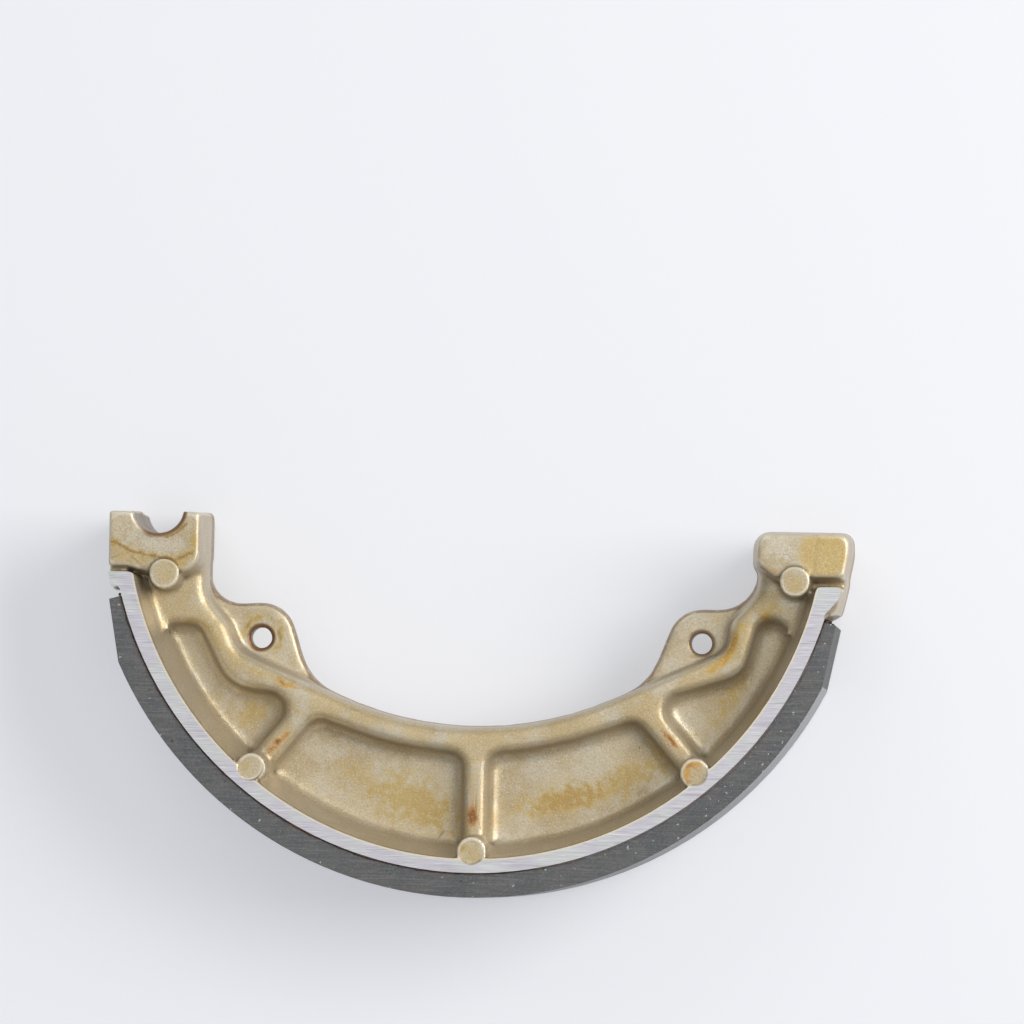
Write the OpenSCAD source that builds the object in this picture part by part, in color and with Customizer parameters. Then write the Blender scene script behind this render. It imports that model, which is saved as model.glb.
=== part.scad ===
// Brake shoe of an internal expanding drum brake.
// One die-cast aluminium shoe with a bonded friction lining.
// The origin is the anchor pin's axis on the middle plane. X runs towards the cam end,
// the shoe arcs towards -Y, and Z is the drum's axis with the ejector-pad face up.

/* [Drum and lining] */
// Radius that the lining is ground to
drum_r = 65; // [62:0.5:70]
// Width of the shoe along the drum's axis
shoe_w = 28; // [25:0.5:34]
// Thickness of the friction lining
lining_t = 3.9; // [3:0.1:4.6]
// How far each side of the lining stands back from the rim's face
lining_step = 0.3; // [0.1:0.05:0.8]
// Thickness of the adhesive between the rim and the lining
bond_t = 0.2; // [0.1:0.05:0.4]
// Angle where the lining starts, below the horizontal at the anchor end
lining_from = 15; // [14:0.5:20]
// Angle where the lining ends, below the horizontal at the cam end
lining_to = 17.4; // [16.6:0.5:24]
// Height that is ground off the lining at its tips
tip_drop = 1.9; // [1:0.1:2.6]
// Angle over which the tips are ground off
tip_arc = 9.4; // [6:0.2:14]

/* [Rim] */
// Width of the machined rim band
rim_t = 2.7; // [2:0.1:3.4]
// How far the rim's inner wall is centred below the drum's axis
rim_offset = 0.4; // [0:0.1:0.8]
// Draft of the rim's inner wall
rim_draft = 12; // [8:0.5:13]
// Gap between a block and the end of the rim band
end_gap = 1.3; // [0.9:0.1:1.8]
// Radius of the band's inner corner at the anchor end
anchor_end_r = 2.7; // [1:0.1:3]
// Radius of the band's inner corner at the cam end
cam_end_r = 0.7; // [0.4:0.1:1.5]
// How far the lip behind the lining stands out from the rim
lip_h = 1.4; // [0.8:0.1:2]
// How much further the lip stands out on the middle plane
lip_swell = 0.9; // [0.4:0.1:1.1]
// Gap between the lip and the end of the lining
lip_gap = 1.6; // [1:0.1:2]
// Angle over which the lip's corner at the cam end slants away towards both faces
lip_slant_arc = 2.6; // [1.5:0.1:3]
// Lean of that slanting corner from the drum's axis
lip_slant = 35; // [20:1:50]

/* [Anchor end] */
// Distance from the anchor pin to the drum's axis along X
anchor_run = 53; // [51:0.5:55]
// Height of the drum's axis above the anchor pin
axis_rise = 1; // [0:0.1:2]
// Radius of the notch for the anchor pin
notch_r = 4.2; // [3.6:0.1:4.8]
// Chamfer round the notch at both faces
notch_chamfer = 0.5; // [0.3:0.1:0.9]
// Length of the anchor block behind the pin
anchor_back = 8.6; // [7.6:0.1:9.4]
// Length of the anchor block in front of the pin
anchor_front = 8.15; // [7.5:0.1:9]
// Depth of the anchor block below the pin, on the rim side
anchor_deep = 11; // [10.4:0.1:11.6]
// Gap between the pin's centre line and the face that meets the other shoe
split_gap = 0.2; // [0:0.1:0.6]

/* [Cam end] */
// Distance from the drum's axis to the inner side of the cam block
cam_from = 45.7; // [44.5:0.1:47]
// Distance from the drum's axis to the outer side of the cam block
cam_to = 62.75; // [61.5:0.1:64]
// Depth of the cam face below the drum's axis
cam_drop = 2.9; // [2.2:0.1:4.5]
// Depth of the cam block's rim side below the drum's axis
cam_deep = 12.1; // [11.4:0.1:12.8]

/* [Web, flange and ribs] */
// Thickness of the web between the pockets
web_t = 5; // [3:0.5:7]
// Height of the flange, ribs and necks above the middle plane
deck_z = 7; // [6:0.25:9]
// Distance from the drum's axis up to the centre of the flange's arc
flange_rise = 19.8; // [18:0.2:22]
// Radius of the flange's inner edge
flange_r = 56; // [54:0.5:58]
// Thickness of the flange between its inner edge and the pockets
flange_w = 4.6; // [3.8:0.1:5.4]
// Width of a rib below its rounded top
rib_w = 4; // [3:0.1:5]
// Angle between neighbouring ribs
rib_step = 40.1; // [38:0.1:41]
// Radius of the rounded top edges round the pockets
edge_r = 1.3; // [0.6:0.1:1.6]
// Radius of the flange's rounded top edge on the hub side
crest_r = 2; // [1:0.1:2.2]
// Radius of the fillets at the pocket floors
floor_r = 1.9; // [0.8:0.1:2.2]
// Radius of the fillets where the necks meet the rim
neck_r = 1.8; // [0.8:0.1:2]

/* [Spring ears] */
// Radius of the spring holes
hole_r = 1.75; // [1.2:0.05:2.2]
// Radius of an ear round its hole
ear_r = 5.8; // [4.8:0.1:6.2]
// Thickness of the ears
ear_t = 4.6; // [3.6:0.1:5]
// Radius of the ears' rounded edges
ear_edge_r = 0.9; // [0.5:0.1:1.1]
// Distance between the two spring holes
hole_span = 73.8; // [73:0.1:74.6]
// Depth of the spring holes below the drum's axis
hole_drop = 22; // [21.4:0.1:22.6]

/* [Blocks and pads] */
// How far the cast faces of the blocks lie below the machined rim face
block_sink = 0.4; // [0.2:0.1:1]
// Radius of the ejector pads
pad_r = 2.45; // [1.8:0.05:3]
// How far the ejector pads lie below the machined rim face
pad_sink = 0.15; // [0.1:0.05:0.2]
// Draft of the cast side walls
draft = 5; // [3:0.5:6]

/* [Hidden] */
$fn = 180;

half_w = shoe_w / 2;
lining_in = drum_r - lining_t;
rim_r = lining_in - bond_t;
rim_in = rim_r - rim_t;
skin_r = rim_r + lip_h;
skin_mid_r = skin_r + lip_swell;
floor_z = web_t / 2;
block_z = half_w - block_sink;
pad_z = half_w - pad_sink;
mid_a = -89.7;
// Outlines that end inside the rim's wall end at this radius
buried_r = rim_r - 0.8;
over = 1;
// How far the foot of a fillet is sunk into the face that it meets
sunk = 0.05;
cam_gap_y = axis_rise - cam_deep;
anchor_cut_y = -anchor_deep + 1.55 - end_gap;
cam_cut_y = cam_gap_y + 0.9 - end_gap;
anchor_end_a = -180 + asin((anchor_deep - 1 + axis_rise) / rim_r);
cam_end_a = -asin((cam_deep - 1) / rim_r);
lip_from = [-180 + lining_from - lip_gap, -lining_to + lip_gap];
groove_z = deck_z + 0.6;
groove_gap = 0.6;
// Angles where the fillets along the necks start, clear of the grooves
neck_from = [
    -180 + asin((axis_rise - anchor_cut_y + anchor_end_r + groove_gap) / rim_in),
    -asin((axis_rise - cam_cut_y + cam_end_r + groove_gap) / rim_in)
];
casting_mid = anchor_run + 0.5;
draft_at = tan(draft);
block_edge_r = 0.6;
block_share = 0.35;

flange_c = [anchor_run - 0.3, axis_rise + flange_rise];
flange_half = 24.3;
// Distances along the flange's end tangents to the ears and to the ridge corners
ear_reach = [5.3, 6.4];
ridge_reach = [17.6, 20.6];

function polar(r, a) = [anchor_run + r * cos(a), axis_rise + r * sin(a)];
function from_axis(x, y) = [anchor_run + x, axis_rise + y];
function ray(a) = [cos(a), sin(a)];

hole_c = [for (side = [-1, 1])
    [casting_mid + side * hole_span / 2, axis_rise - hole_drop + side * 0.1]];
rib_a = [for (k = [-1:1]) mid_a + k * rib_step];
pad_c = [
    polar(53.2, -166.9), polar(54.5, -12.4),
    for (a = rib_a) polar(rim_in - 0.85, a)
];

// Where the line through p at angle a meets the line through q at angle b
function meet(p, a, q, b) =
    let(s = ((q[0] - p[0]) * sin(b) - (q[1] - p[1]) * cos(b)) / sin(b - a))
    p + s * ray(a);

// A corner of an outline is its place, its rounding radius and the share of an inset
// that the edge after it takes
function corner(p, r = 0, share = 1) = [p[0], p[1], r, share];
function place(c) = [c[0], c[1]];
function heading(c, i) =
    let(d = place(c[(i + 1) % len(c)]) - place(c[i])) d / norm(d);
function left_of(d) = [-d[1], d[0]];
function turned(p, a) = [p[0] * cos(a) - p[1] * sin(a), p[0] * sin(a) + p[1] * cos(a)];
function arc_steps(r, turn) = r == 0 ? 0 : max(2, ceil(abs(turn) / (r > 20 ? 4 : 15)));
// Angles along a rounded edge of a loft
edge_turns = [0:30:90];

// The points of corner i after all the edges have moved inwards by e
function rounded(c, i, e) =
    let(
        before = (i + len(c) - 1) % len(c),
        d1 = heading(c, before),
        d2 = heading(c, i),
        n1 = left_of(d1),
        n2 = left_of(d2),
        k = n1 * n2,
        e1 = e * c[before][3],
        e2 = e * c[i][3],
        v = place(c[i]) + ((e1 - e2 * k) * n1 + (e2 - e1 * k) * n2) / (1 - k * k),
        turn = atan2(d1[0] * d2[1] - d1[1] * d2[0], d1 * d2),
        r = max(c[i][2] - sign(turn) * (e1 + e2) / 2, 0.05),
        start = v - d1 * r * tan(abs(turn) / 2),
        middle = start + sign(turn) * r * n1,
        steps = arc_steps(c[i][2], turn)
    )
    steps == 0 ? [v] : [for (s = [0:steps]) middle + turned(start - middle, turn * s / steps)];

function outline(c, e = 0) = [for (i = [0:len(c) - 1]) each rounded(c, i, e)];

// Height and inset of a wall that leans by the draft and ends in a rounded top edge
function wall_up(z, r) =
    let(lean = (z - r) * draft_at)
    [for (t = edge_turns) [z - r + r * sin(t), lean + r - r * cos(t)]];
function both_faces(levels) = concat(
    [for (i = [len(levels) - 1:-1:0]) [-levels[i][0], levels[i][1]]],
    [[0, 0]],
    levels
);
// Heights and insets of a pocket from its filleted floor to its rounded mouth
pocket_levels = let(
        wall = deck_z - edge_r - floor_z - floor_r,
        lean = max(wall, 0.1) * draft_at
    ) concat(
    [for (t = edge_turns) [floor_z + floor_r * (1 - cos(t)), lean + floor_r * (1 - sin(t))]],
    [for (t = edge_turns) [deck_z - edge_r * (1 - sin(t)), -edge_r * (1 - cos(t))]],
    [[deck_z + over, -edge_r]]
);

// Caps of a loft: triangles are cut off the outline p one at a time, at corners that
// bulge and have no other point of the outline inside
function side_of(a, b, c) = (b[0] - a[0]) * (c[1] - a[1]) - (b[1] - a[1]) * (c[0] - a[0]);
function inside(q, a, b, c) =
    q != a && q != b && q != c
    && side_of(a, b, q) >= 0 && side_of(b, c, q) >= 0 && side_of(c, a, q) >= 0;
function around(left, k) =
    let(n = len(left)) [left[(k + n - 1) % n], left[k], left[(k + 1) % n]];
function can_cut(p, t, left) =
    side_of(p[t[0]], p[t[1]], p[t[2]]) > 0.00001
    && len([for (m = left) if (inside(p[m], p[t[0]], p[t[1]], p[t[2]])) m]) == 0;
function next_cut(p, left, k = 0) =
    k >= len(left) - 1 || can_cut(p, around(left, k), left) ? k : next_cut(p, left, k + 1);
function cap(p, left, done = []) =
    len(left) == 3 ? concat(done, [left]) :
    let(k = next_cut(p, left))
    cap(p, [for (i = [0:len(left) - 1]) if (i != k) left[i]], concat(done, [around(left, k)]));

module loft(corners, levels) {
    rings = [for (l = levels) [for (p = outline(corners, l[1])) [p[0], p[1], l[0]]]];
    n = len(rings[0]);
    m = len(levels);
    sides = [
        for (j = [0:m - 2], i = [0:n - 1])
            [j * n + i, (j + 1) * n + i, (j + 1) * n + (i + 1) % n, j * n + (i + 1) % n]
    ];
    order = [for (i = [0:n - 1]) i];
    bottom = cap(rings[0], order);
    top = [for (t = cap(rings[m - 1], order)) [for (k = [2:-1:0]) (m - 1) * n + t[k]]];
    polyhedron([for (r = rings) each r], concat(bottom, sides, top));
}

module on_both_faces() {
    children();
    mirror([0, 0, 1]) children();
}

module sector(from, to) {
    translate([anchor_run, axis_rise, 0]) rotate([0, 0, from])
        rotate_extrude(angle = to - from) children();
}

// Flange: one long arc with a straight run at each end
function flange_end(side, run) =
    let(a = -90 + side * flange_half)
    flange_c + flange_r * ray(a) + run * ray(side > 0 ? flange_half : 180 - flange_half);
function flange_belly(r, from, to) =
    corner(flange_c + r / cos((to - from) / 2) * ray((from + to) / 2), r);

// The deck carries the flange, the ridges beside the ears and both necks
function deck_corners() = concat(
    [for (a = [anchor_end_a - 2.5:10:-20]) corner(polar(buried_r, a))],
    [
        corner(polar(buried_r, cam_end_a + 2)),
        corner([anchor_run + cam_from + 4, cam_gap_y + 4]),
        corner([anchor_run + cam_from + 0.8, cam_gap_y + 2.5]),
        corner([anchor_run + cam_from + 0.8, axis_rise - 13.2], 4),
        corner(hole_c[1] + [4.3, 3.5], 3.5),
        corner(flange_end(1, ridge_reach[1]), 2.6),
        flange_belly(flange_r, -90 - flange_half, -90 + flange_half),
        corner(flange_end(-1, ridge_reach[0]), 3.5),
        corner(hole_c[0] + [-4.8, 2.5], 4),
        corner([anchor_front - 0.1, -14.2], 5),
        corner([anchor_front - 0.1, -7]),
        corner([anchor_front - 4, -5])
    ]
);

// Middle of a rib's side at the rim, on the side given by -1 or 1
function rib_side(k, side) = polar(buried_r, rib_a[k]) + side * rib_w / 2 * ray(rib_a[k] + 90);

// Pocket between ribs k and k + 1
function middle_pocket(k) =
    let(
        r = flange_r + flange_w,
        from = rib_side(k, 1),
        to = rib_side(k + 1, -1),
        mouth = [for (p = [from, to])
            let(d = flange_c - p) atan2(-d[1], -d[0])],
        f = [mouth[0] + 4.2 + (k == 0 ? 6 : 0), mouth[1] - 4.2 - (k == 0 ? 0 : 6)]
    )
    concat(
        [corner(from)],
        [for (s = [1:2]) corner(polar(buried_r + 0.2, rib_a[k] + rib_step * s / 3))],
        [
            corner(to),
            corner(meet(to, rib_a[k + 1], flange_c + r * ray(f[1]), f[1] + 90), 2.6),
            flange_belly(r, f[0], f[1]),
            corner(meet(from, rib_a[k], flange_c + r * ray(f[0]), f[0] + 90), 2.6)
        ]
    );

// Pocket behind the left ear, from the anchor neck to the first rib
function anchor_pocket() =
    let(
        bend = from_axis(-41.4, -30.3),
        side = rib_side(0, -1),
        a = -180 + asin(23.6 / buried_r)
    )
    [
        corner(polar(buried_r, a)),
        corner(polar(buried_r + 0.2, (a + rib_a[0]) / 2)),
        corner(side),
        corner(meet(side, rib_a[0], bend, -8), 2.8),
        corner(bend, 7),
        corner(from_axis(-46.5, -20), 2.6),
        corner(from_axis(-51, -20.1), 1.4)
    ];

// Pocket behind the right ear, from the last rib to the cam neck
function cam_pocket() =
    let(
        bend = from_axis(44.5, -27.2),
        side = rib_side(2, 1),
        a = -asin(22.6 / buried_r)
    )
    [
        corner(side),
        corner(polar(buried_r + 0.2, (a + rib_a[2]) / 2)),
        corner(polar(buried_r, a)),
        corner(from_axis(50.2, -18), 2),
        corner(from_axis(47.1, -18), 2.2),
        corner(bend, 5),
        corner(meet(side, rib_a[2], bend, 17), 2.8)
    ];

// Outer corner of an ear, where its top line meets the tangent from the flange
function ear_tip(hole, foot, side, lean = 0) =
    let(d = hole - foot)
    meet(
        hole + ear_r * ray(90 + lean), lean,
        foot, atan2(d[1], d[0]) + side * asin(ear_r / norm(d))
    );

function left_ear() =
    let(foot = flange_end(-1, ear_reach[0]))
    [
        corner(flange_end(-1, 0) + [0, -0.1]),
        corner(foot, 10),
        corner(ear_tip(hole_c[0], foot, -1, 5), ear_r),
        corner([anchor_front - 0.25, hole_c[0][1] + ear_r * 0.95], 5),
        corner([anchor_front - 0.25, -8]),
        corner([anchor_front - 4, -8]),
        corner(hole_c[0] + [-12, -2]),
        corner(hole_c[0] + [-2, -9]),
        corner(flange_end(-1, 0) + [-1, -3])
    ];

function right_ear() =
    let(foot = flange_end(1, ear_reach[1]))
    [
        corner([anchor_run + cam_from + 0.8, -8]),
        corner([anchor_run + cam_from + 0.8, hole_c[1][1] + ear_r], 6.2),
        corner(ear_tip(hole_c[1], foot, 1), ear_r),
        corner(foot, 10),
        corner(flange_end(1, 0) + [0, -0.1]),
        corner(flange_end(1, 0) + [1, -3]),
        corner(hole_c[1] + [2, -9]),
        corner(hole_c[1] + [12, -2]),
        corner([anchor_run + cam_from + 5, -8])
    ];

module ear_plate(corners) {
    lean = 0.1;
    levels = [
        [ear_t / 2 - ear_edge_r, lean],
        [ear_t / 2 - ear_edge_r * 0.3, lean + ear_edge_r * 0.3],
        [ear_t / 2, lean + ear_edge_r]
    ];
    loft(corners, both_faces(levels));
}

// Blocks at both ends, with faces that lean less where the other shoe and the cam meet them
function anchor_corners() = [
    corner([anchor_front, -split_gap], 0.9, block_share),
    corner([-anchor_back, -split_gap], 0.5, block_share),
    corner([-anchor_back, -anchor_deep], 0.4),
    corner([-5.2, -anchor_deep], 2),
    corner([-1.6, -anchor_deep - 0.9], 2),
    corner([anchor_front, -anchor_deep - 0.9], 4.4)
];

function cam_corners() = [
    corner([anchor_run + cam_to, axis_rise - cam_drop], 2.2, 0.75),
    corner([anchor_run + cam_from, axis_rise - cam_drop], 2.8),
    corner([anchor_run + cam_from, cam_gap_y + 2.6], 1.6),
    corner([anchor_run + cam_from + 3.9, cam_gap_y], 1.6),
    corner([anchor_run + cam_to - 0.9, cam_gap_y], 0.5, 0.6),
    corner([anchor_run + cam_to, cam_gap_y + 5], 3, 0.6)
];

module block(corners) {
    loft(corners, both_faces(wall_up(block_z, block_edge_r)));
}

// Rim: the inner wall leans out from a filleted floor, at height z above the middle plane
function rim_wall(z) = rim_in - (half_w - z) * tan(rim_draft);
function rim_fillet(z, r) =
    let(middle = [rim_wall(z + r) - r / cos(rim_draft), z + r])
    [for (t = [0:1:5]) middle + r * ray(-90 + (90 - rim_draft) * t / 5)];

module rim() {
    inner = buried_r - 5;
    fillet = rim_fillet(floor_z - sunk, floor_r);
    difference() {
        union() {
            sector(anchor_end_a, cam_end_a)
                translate([inner, -half_w]) square([rim_r - inner, shoe_w]);
            lip(anchor_end_a, lip_from[0]);
            lip(lip_from[1], cam_end_a);
        }
        translate([0, -rim_offset, 0]) on_both_faces()
            sector(anchor_end_a - 5, cam_end_a + 5)
                polygon(concat(
                    [[inner - over, floor_z - sunk]],
                    fillet,
                    [[rim_wall(half_w + over), half_w + over], [inner - over, half_w + over]]
                ));
        on_both_faces() translate([0, 0, groove_z]) linear_extrude(half_w) {
            band_end([-anchor_back - 2, anchor_cut_y], polar(rim_in + 1.5, -167), anchor_end_r);
            translate([2 * anchor_run, 0]) mirror([1, 0])
                band_end([-cam_to - 2 + anchor_run, cam_cut_y], polar(rim_in + 0.8, -167), cam_end_r);
        }
    }
}

// The lip that the lining's end stands against is widest on the middle plane
module lip(from, to) {
    sector(from, to) polygon([
        [rim_r - over, -half_w], [skin_r, -half_w], [skin_mid_r, 0],
        [skin_r, half_w], [rim_r - over, half_w]
    ]);
}

// The cam end's lip is cut off slanting from the rim's outer edge
module lip_corner() {
    low = polar(rim_r, lip_from[1]);
    run = polar(skin_r, lip_from[1] + lip_slant_arc) - low;
    on_both_faces() translate([low[0], low[1], half_w])
        rotate([0, 0, atan2(run[1], run[0])]) rotate([-lip_slant, 0, 0])
            translate([-over, -lip_h * 3, -lip_h * 3]) cube([norm(run) + 2 * over, lip_h * 3, lip_h * 6]);
}

// What is cut away between a block and the straight end of the rim band at y = p[1]
module band_end(p, inside, r) {
    c = [inside[0], p[1] - r];
    translate(p) square([20, 8]);
    difference() {
        translate(c) square([8, r + over]);
        translate(c) circle(r, $fn = 48);
    }
}

module neck_fillet(from, to) {
    fillet = [for (p = rim_fillet(deck_z - sunk, neck_r)) p + [sunk, 0]];
    top = fillet[len(fillet) - 1];
    translate([0, -rim_offset, 0]) sector(from, to)
        polygon(concat(fillet, [top + [0.6, 0], [top[0] + 0.6, deck_z - 0.5], fillet[0] - [0, 0.45]]));
}

module pads() {
    for (p = pad_c)
        translate(p) cylinder(h = pad_z, r1 = pad_r + pad_z * tan(2), r2 = pad_r, $fn = 48);
}

module pad_faces() {
    for (p = pad_c)
        translate([p[0], p[1], pad_z]) cylinder(h = over, r = pad_r, $fn = 48);
}

module notch() {
    cylinder(h = shoe_w + 2 * over, r = notch_r, center = true, $fn = 96);
    on_both_faces() translate([0, 0, block_z - notch_chamfer])
        cylinder(h = notch_chamfer + over, r1 = notch_r, r2 = notch_r + notch_chamfer + over, $fn = 96);
}

module spring_holes() {
    sink = 0.5;
    for (p = hole_c) translate(p) {
        cylinder(h = shoe_w, r = hole_r, center = true, $fn = 48);
        on_both_faces() translate([0, 0, ear_t / 2 - sink])
            cylinder(h = sink + over, r1 = hole_r, r2 = hole_r + sink + over, $fn = 48);
    }
}

module shoe_casting() {
    color([0.72, 0.66, 0.52]) difference() {
        union() {
            difference() {
                loft(deck_corners(), both_faces(wall_up(deck_z, crest_r)));
                on_both_faces() {
                    loft(anchor_pocket(), pocket_levels);
                    loft(middle_pocket(0), pocket_levels);
                    loft(middle_pocket(1), pocket_levels);
                    loft(cam_pocket(), pocket_levels);
                }
            }
            ear_plate(left_ear());
            ear_plate(right_ear());
            rim();
            on_both_faces() {
                neck_fillet(neck_from[0], -158);
                neck_fillet(-21, neck_from[1]);
            }
            block(anchor_corners());
            block(cam_corners());
            pads();
        }
        pad_faces();
        notch();
        spring_holes();
        lip_corner();
    }
}

module lining_band(r, t, step) {
    sector(-180 + lining_from, -lining_to)
        translate([r, -half_w + step]) square([t, shoe_w - 2 * step]);
}

module bond_line() {
    color([0.2, 0.13, 0.09]) lining_band(rim_r, bond_t, lining_step);
}

// The tips are ground flat, so that the lining doesn't grab when it meets the drum
module tip_cut(end, side) {
    low = polar(drum_r - tip_drop, end);
    high = polar(drum_r, end + side * tip_arc);
    out = (high - low) / norm(high - low);
    translate([0, 0, -half_w]) linear_extrude(shoe_w) polygon([
        low - 3 * out, high + 3 * out,
        high + 3 * out - side * 6 * left_of(out), low - 3 * out - side * 6 * left_of(out)
    ]);
}

module friction_lining() {
    color([0.42, 0.43, 0.42]) difference() {
        lining_band(lining_in, lining_t, lining_step);
        tip_cut(-180 + lining_from, 1);
        tip_cut(-lining_to, -1);
    }
}

shoe_casting();
bond_line();
friction_lining();
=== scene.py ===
# %% [markdown]
# A drum brake shoe, dressed over its measured solids.
# The frame holds three solids: the die-cast shoe, the thin layer of adhesive and the
# friction lining. This lesson gives each of them the skin that the real one has: soft cast
# corners, milled bands, stains and rust on the casting, a squeezed-out bead of adhesive,
# and a ground, speckled lining. Lengths are in metres, and MM turns millimetres into them.

# %% Load the measured frame
import math
import bmesh
import bpy
import numpy as np
from mathutils import Matrix, Vector, noise
from mathutils.kdtree import KDTree


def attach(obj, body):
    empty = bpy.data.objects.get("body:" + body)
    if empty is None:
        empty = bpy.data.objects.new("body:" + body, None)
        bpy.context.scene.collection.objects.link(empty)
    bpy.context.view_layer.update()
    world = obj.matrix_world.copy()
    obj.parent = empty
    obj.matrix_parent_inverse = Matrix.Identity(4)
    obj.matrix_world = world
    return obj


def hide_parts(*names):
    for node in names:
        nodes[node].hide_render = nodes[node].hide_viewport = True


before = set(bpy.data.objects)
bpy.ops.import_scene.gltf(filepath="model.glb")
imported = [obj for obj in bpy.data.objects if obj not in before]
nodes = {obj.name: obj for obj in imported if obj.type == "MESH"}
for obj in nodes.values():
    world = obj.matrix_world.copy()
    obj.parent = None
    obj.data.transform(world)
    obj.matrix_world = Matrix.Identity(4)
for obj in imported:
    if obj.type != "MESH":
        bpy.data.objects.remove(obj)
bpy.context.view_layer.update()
scene = bpy.context.scene
MM = 0.001

# %% [markdown]
# The shoe's plan is drawn round the drum's axis. The rim's inner wall has its own centre a
# little lower, and the pads, holes and notch have fixed places. All of them are needed
# again for masks that tell a cast face from a milled one.

# %% Places on the shoe, in millimetres
DRUM_AXIS = Vector((53.0, 1.0, 0.0))
RIM_R = 60.9
LINING_IN_R = 61.1
DRUM_R = 65.0
LINING_FROM = math.radians(-165.0)
LINING_TO = math.radians(-17.4)
BAND_IN_R = 58.2
BAND_CENTRE = Vector((53.0, 0.6, 0.0))
HALF_W = 14.0
LINING_TOP = 13.7
PADS = [(1.18, -11.06), (106.23, -10.70), (15.81, -42.59), (53.30, -56.35), (90.06, -42.63)]
PAD_R = 2.45
SPRING_HOLES = [(16.6, -21.1), (90.4, -20.9)]
HOLE_R = 1.75
NOTCH_R = 4.2


def round_the_drum(radius, angle, z=0.0):
    """A place in millimetres, from its radius and angle round the drum's axis."""
    return Vector((DRUM_AXIS.x + radius * math.cos(angle), DRUM_AXIS.y + radius * math.sin(angle), z))


print("pads", len(PADS), "spring holes", len(SPRING_HOLES))

# %% [markdown]
# Camera. The photograph was taken from far above with a long lens, so the shoe shows almost
# no perspective: only a sliver of the lining's outer face at the lower right. A camera is
# placed by three facts: where it stands, what point it looks at and how far it is rolled.

# %% Camera above the shoe
def aimed(eye, target, right):
    """The matrix of something that stands at the eye and looks at the target."""
    forward = (target - eye).normalized()
    side = (right - forward * right.dot(forward)).normalized()
    up = side.cross(forward)
    turn = Matrix((side, up, -forward)).transposed().to_4x4()
    return Matrix.Translation(eye) @ turn


CAMERA_EYE = Vector((162.2, -59.2, 1614.0)) * MM
CAMERA_TARGET = Vector((59.053, 0.158, 14.0)) * MM
CAMERA_ROLL = math.radians(0.9)
camera = bpy.data.objects.new("camera", bpy.data.cameras.new("camera"))
camera.data.sensor_width = 36.0
camera.data.lens = 339.55
camera.data.clip_end = 10.0
camera.matrix_world = aimed(CAMERA_EYE, CAMERA_TARGET,
                            Vector((math.cos(CAMERA_ROLL), math.sin(CAMERA_ROLL), 0.0)))
scene.collection.objects.link(camera)
scene.camera = camera
print("camera at", [round(c, 3) for c in camera.matrix_world.translation])

# %% [markdown]
# Light. A satin casting looks right under large soft lights. The key panel stands on the
# right at half height, so it draws a bright line along each fillet that faces it and leaves
# the other side of each rib dark. The fill panel does a little of the same from the upper
# left. The ceiling panel hangs above the camera and gives the flat faces their sheen, and an
# even world lifts the rest. Together they light a white floor to about its own colour, with
# a pale shadow on the side away from the key panel.

# %% Soft room and three broad lamps
LAMP_TARGET = Vector((0.055, -0.03, 0.0))
scene.view_settings.view_transform = "Standard"
world = bpy.data.worlds.new("soft room")
scene.world = world
world.use_nodes = True
sky = world.node_tree.nodes["Background"]
sky.inputs["Color"].default_value = (0.94, 0.96, 1.0, 1.0)
sky.inputs["Strength"].default_value = 0.33


def soft_lamp(name, eye, size, radiance, tint):
    """A rectangular panel that faces the shoe; its power follows from how bright it looks."""
    lamp = bpy.data.lights.new(name, "AREA")
    lamp.shape = "RECTANGLE"
    lamp.size, lamp.size_y = size
    lamp.energy = radiance * math.pi * size[0] * size[1]
    lamp.color = tint
    holder = bpy.data.objects.new(name, lamp)
    holder.matrix_world = aimed(Vector(eye), LAMP_TARGET, Vector((-0.1, 1.0, 0.0)))
    scene.collection.objects.link(holder)


soft_lamp("key panel", (0.80, 0.24, 0.68), (0.62, 0.62), 6.6, (1.0, 0.985, 0.96))
soft_lamp("fill panel", (-0.30, 0.80, 0.85), (0.8, 0.6), 1.3, (0.97, 0.98, 1.0))
soft_lamp("ceiling panel", (0.06, 0.02, 2.00), (1.6, 1.6), 0.78, (1.0, 1.0, 1.0))

# %% [markdown]
# Small helpers for shader nodes. A material is a chain of nodes, so a short function that
# adds a node, sets its sockets and links what is given keeps the recipes readable.

# %% Helpers for node trees
def add_node(tree, kind, settings=None, **sockets):
    """A new node with its settings and sockets; an underscore stands for a space."""
    made = tree.nodes.new(kind)
    for key, value in (settings or {}).items():
        setattr(made, key, value)
    for key, value in sockets.items():
        feed(tree, made, key.replace("_", " "), value)
    return made


def feed(tree, target, socket, value):
    """Links or sets one input, by its name or by its number in quotes."""
    place = target.inputs[int(socket)] if socket.isdigit() else target.inputs[socket]
    if isinstance(value, bpy.types.NodeSocket):
        tree.links.new(value, place)
    else:
        place.default_value = value


def calc(tree, operation, a, b=0.0, clamp=False):
    """The result of a sum, product or the like."""
    made = tree.nodes.new("ShaderNodeMath")
    made.operation = operation
    made.use_clamp = clamp
    feed(tree, made, "0", a)
    feed(tree, made, "1", b)
    return made.outputs[0]


def span(tree, value, low, high, to_low=0.0, to_high=1.0, smooth=True):
    """Turns a range of values into another one, clamped at its ends."""
    made = tree.nodes.new("ShaderNodeMapRange")
    made.interpolation_type = "SMOOTHSTEP" if smooth else "LINEAR"
    for key, given in zip(("Value", "From Min", "From Max", "To Min", "To Max"),
                          (value, low, high, to_low, to_high)):
        feed(tree, made, key, given)
    return made.outputs["Result"]


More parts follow.
